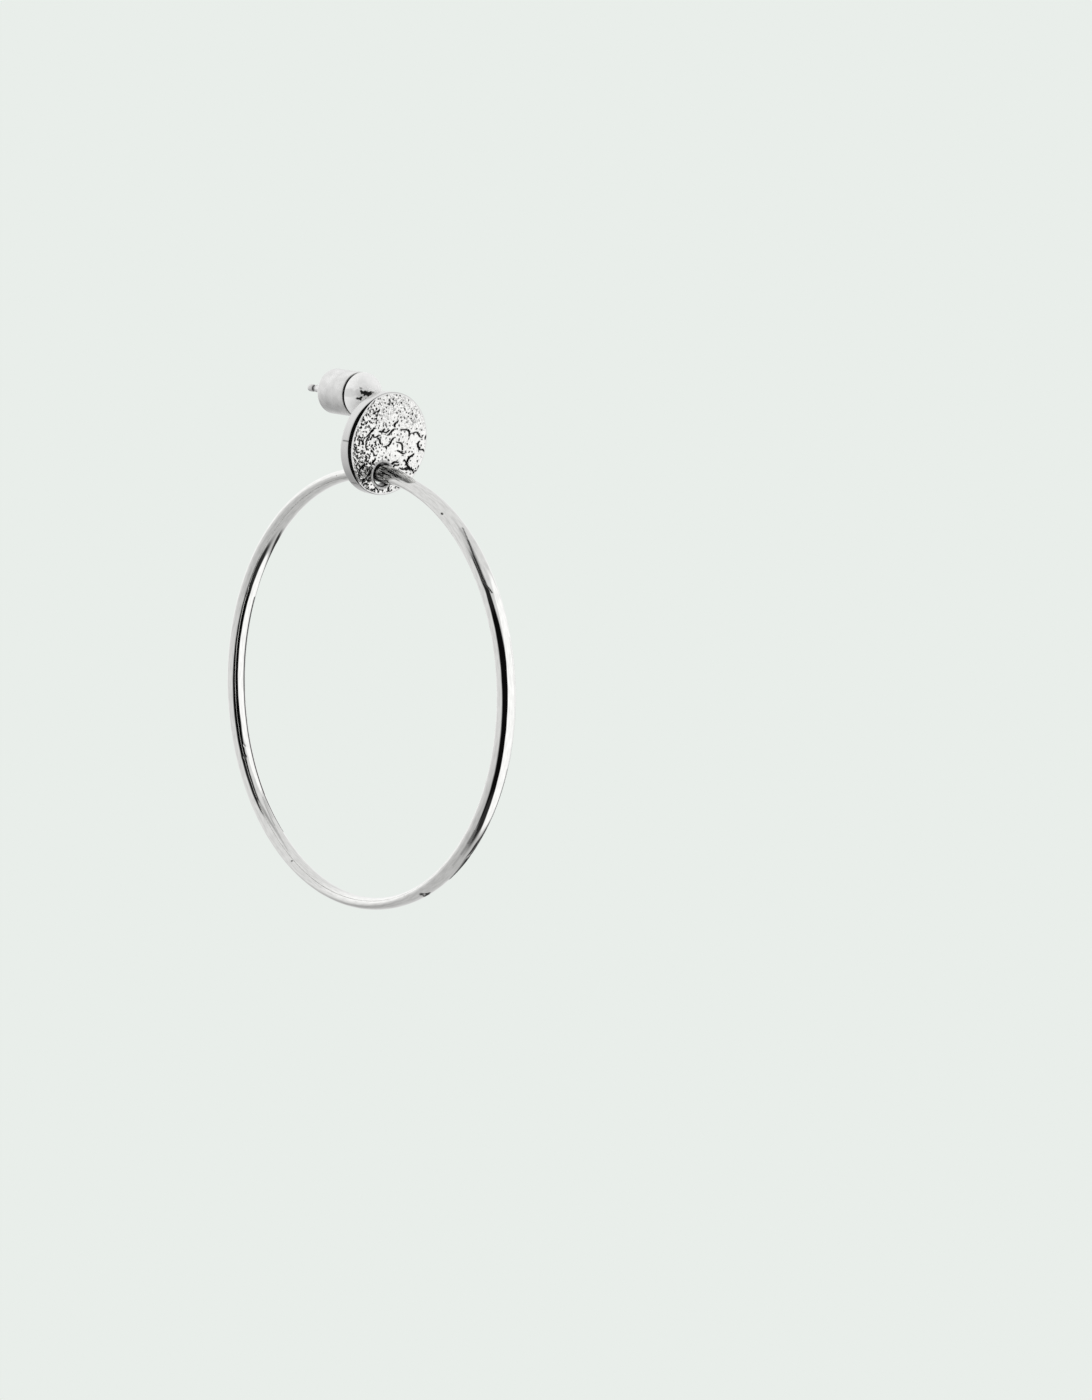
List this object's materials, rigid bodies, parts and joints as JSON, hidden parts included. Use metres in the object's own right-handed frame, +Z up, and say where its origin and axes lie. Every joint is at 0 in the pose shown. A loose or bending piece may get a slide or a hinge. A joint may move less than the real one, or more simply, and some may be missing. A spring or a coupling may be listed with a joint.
{
  "type": "hoop earring",
  "caption": "Hoop of flattened wire hanging through a textured cast disc on an ear post, with a bullet clutch on the post.",
  "frame": {"origin": "on the ear post's axis at the disc's flat back, where the post enters the front of the ear lobe", "axes": "+Y along the post from the disc to its tip, +Z up, the hoop in the YZ plane below, the disc's textured front facing -Y"},
  "size_m": [0.0108, 0.0479, 0.058],
  "materials": {
    "cast_disc": "cast silver, rough relief on the front and polished on its high points, edge and back",
    "polished_wire": "polished silver wire with fine handling marks",
    "clutch_metal": "polished silver, bare of marks"
  },
  "bodies": {
    "stud": {"disc_stud": "cast_disc"},
    "hoop": {"hoop": "polished_wire"},
    "clutch": {"clutch_dome": "clutch_metal", "clutch_barrel": "clutch_metal"}
  },
  "joints": [
    {"name": "hoop_swing", "type": "hinge", "parent": "stud", "child": "hoop", "pos_m": [0, -0.00065, -0.00824], "axis": [0, 1, 0], "range_deg": [-150, 150]},
    {"name": "clutch_slide", "type": "slide", "parent": "stud", "child": "clutch", "axis": [0, 1, 0], "range_m": [-0.001, 0.0112]}
  ]
}
